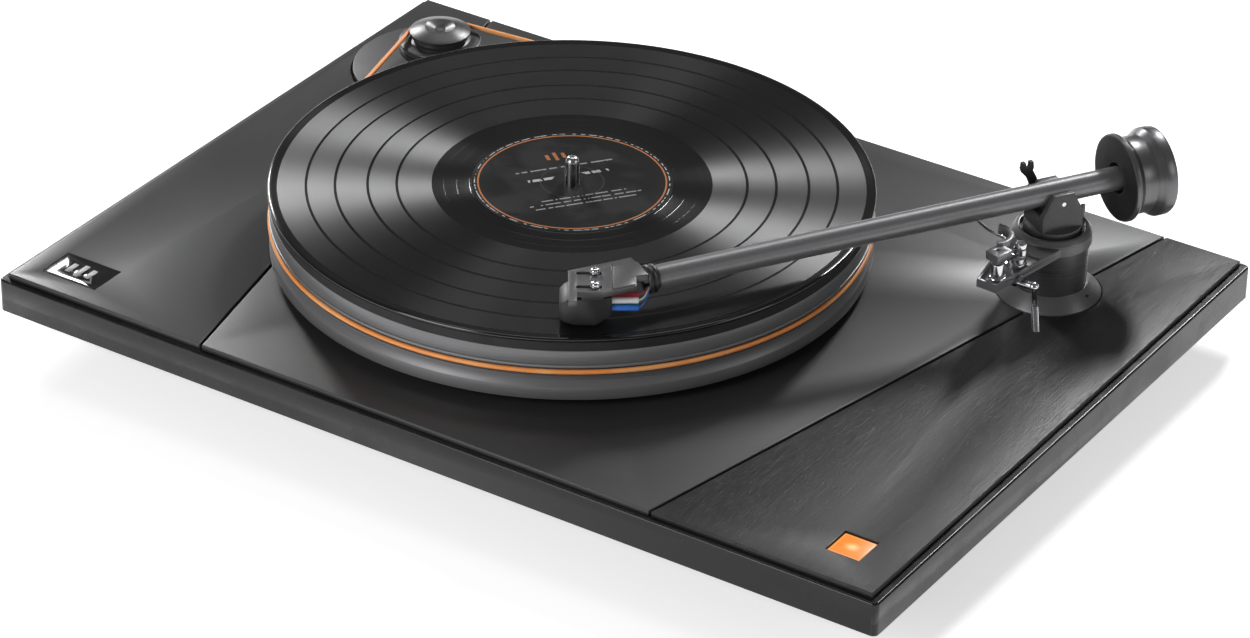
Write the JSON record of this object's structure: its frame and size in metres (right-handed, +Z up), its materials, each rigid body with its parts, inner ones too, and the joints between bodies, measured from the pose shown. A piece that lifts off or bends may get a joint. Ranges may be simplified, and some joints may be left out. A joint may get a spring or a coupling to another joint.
{
  "type": "turntable record player",
  "caption": "Belt-drive turntable with a flat top in three plates, two-tier platter with a record, straight arm with counterweight, stepped pulley and lit square button.",
  "frame": {"origin": "on the table, under the middle of the plinth", "axes": "+Z up, +X to the right seen from the front, +Y to the back"},
  "size_m": [0.505, 0.365, 0.1198],
  "materials": {
    "black lacquered board": "satin lacquer",
    "grey satin metal": "satin painted",
    "black brushed metal": "brushed, black",
    "black badge": "gloss",
    "black plastic": "matte",
    "dark screw steel": "blackened",
    "black rubber": "matte",
    "green circuit board": "matte",
    "black satin metal": "satin anodised",
    "gold plated brass": "polished",
    "bright turned steel": "turned",
    "polished ball steel": "polished",
    "zinc motor steel": "plated",
    "copper windings": "enamelled",
    "peach rubber": "smooth",
    "orange lit plastic": "lit from inside",
    "bearing bronze": "turned",
    "dark satin metal": "satin painted",
    "black vinyl": "grooved gloss",
    "black printed paper": "printed",
    "turned aluminium": "turned",
    "black gloss metal": "gloss anodised",
    "bright chrome": "polished",
    "grey textured metal": "sand textured paint",
    "light satin metal": "satin",
    "dark grey plastic": "fine grain",
    "coloured lead plastic": "smooth",
    "dark weight metal": "satin"
  },
  "bodies": {
    "plinth": {"plinth_body": "black lacquered board", "left_panel": "grey satin metal", "centre_panel": "grey satin metal", "right_panel": "black brushed metal", "badge": "black badge", "bottom_tray": "black plastic", "tray_screws": "dark screw steel", "feet": "black plastic", "foot_pads": "black rubber", "circuit_board": "green circuit board", "board_parts": "black plastic", "jack_plate": "black satin metal", "phono_sockets": "gold plated brass", "ground_post": "gold plated brass", "power_inlet": "black plastic", "bearing_base": "bright turned steel", "bearing_ball": "polished ball steel", "cap_screws": "dark screw steel", "motor_plate": "grey satin metal", "motor_can": "zinc motor steel", "motor_stator": "copper windings", "belt": "peach rubber", "arm_flange": "grey satin metal", "flange_screw": "dark screw steel"},
    "button": {"power_button": "orange lit plastic"},
    "platter": {"bearing_sleeve": "bearing bronze", "spindle": "bright turned steel", "platter_lower": "dark satin metal", "platter_upper": "dark satin metal", "platter_mat": "black rubber", "record_disc": "black vinyl", "record_label": "black printed paper"},
    "drive": {"pulley": "turned aluminium", "motor_rotor": "bright turned steel"},
    "pillar": {"arm_pillar": "black gloss metal", "yaw_bearings": "bright turned steel", "turret_ring": "grey satin metal", "lift_platform": "grey satin metal", "platform_screw": "bright chrome", "lift_sleeve": "bright chrome", "lift_housing": "black plastic", "knob_base": "bright chrome"},
    "lift": {"lift_bracket": "grey satin metal", "lift_wire": "bright chrome"},
    "cue_lever": {"cue_lever": "bright chrome"},
    "bias_knob": {"bias_knob": "bright chrome"},
    "yoke": {"bearing_yoke": "grey textured metal", "yaw_shaft": "bright turned steel", "pivot_screws": "bright turned steel", "thread_fork": "black plastic"},
    "arm": {"pivot_axle": "bright turned steel", "arm_tube": "black satin metal", "arm_collar": "black satin metal", "headshell": "light satin metal", "headshell_screws": "bright chrome", "cartridge_body": "dark grey plastic", "cartridge_leads": "coloured lead plastic", "stylus_unit": "black plastic", "weight_shaft": "bright turned steel"},
    "counterweight": {"counterweight": "dark weight metal"}
  },
  "joints": [
    {"name": "platter_spin", "type": "hinge", "parent": "plinth", "child": "platter", "pos_m": [-0.0326, -0.0018, 0.0668], "axis": [0, 0, 1], "continuous": true},
    {"name": "pulley_spin", "type": "hinge", "parent": "plinth", "child": "drive", "pos_m": [-0.1965, 0.1175, 0.057], "axis": [0, 0, 1], "continuous": true},
    {"name": "button_press", "type": "slide", "parent": "plinth", "child": "button", "axis": [0, 0, -1], "range_m": [0, 0.001], "stiffness_N_per_m": 600, "springref_m": -0.0012},
    {"name": "arm_height", "type": "slide", "parent": "plinth", "child": "pillar", "axis": [0, 0, 1], "range_m": [0, 0.006]},
    {"name": "arm_yaw", "type": "hinge", "parent": "pillar", "child": "yoke", "pos_m": [0.1823, 0.1007, 0.0766], "axis": [0, 0, 1], "range_deg": [-18, 25]},
    {"name": "arm_cue_tilt", "type": "hinge", "parent": "yoke", "child": "arm", "pos_m": [0.1823, 0.1007, 0.0953], "axis": [-0.8425, 0.5388, 0], "range_deg": [0, 2.8]},
    {"name": "weight_slide", "type": "slide", "parent": "arm", "child": "counterweight", "axis": [0.5388, 0.8425, 0], "range_m": [-0.003, 0.008]},
    {"name": "cue_lever_turn", "type": "hinge", "parent": "pillar", "child": "cue_lever", "pos_m": [0.1823, 0.0587, 0.0685], "axis": [-1, 0, 0], "range_deg": [0, 75]},
    {"name": "lift_rise", "type": "slide", "parent": "pillar", "child": "lift", "axis": [0, 0, 1], "range_m": [0, 0.002], "stiffness_N_per_m": 0.2, "springref_m": 0.12222},
    {"name": "bias_knob_turn", "type": "hinge", "parent": "pillar", "child": "bias_knob", "pos_m": [0.1847, 0.0641, 0.08], "axis": [0, 0, 1], "range_deg": [0, 270]}
  ],
  "couplings": [
    {"joint": "pulley_spin", "follows": "platter_spin", "ratio": 9.2531},
    {"joint": "cue_lever_turn", "follows": "arm_cue_tilt", "ratio": 26.786},
    {"joint": "lift_rise", "follows": "arm_cue_tilt", "m_per_rad": 0.040926}
  ]
}
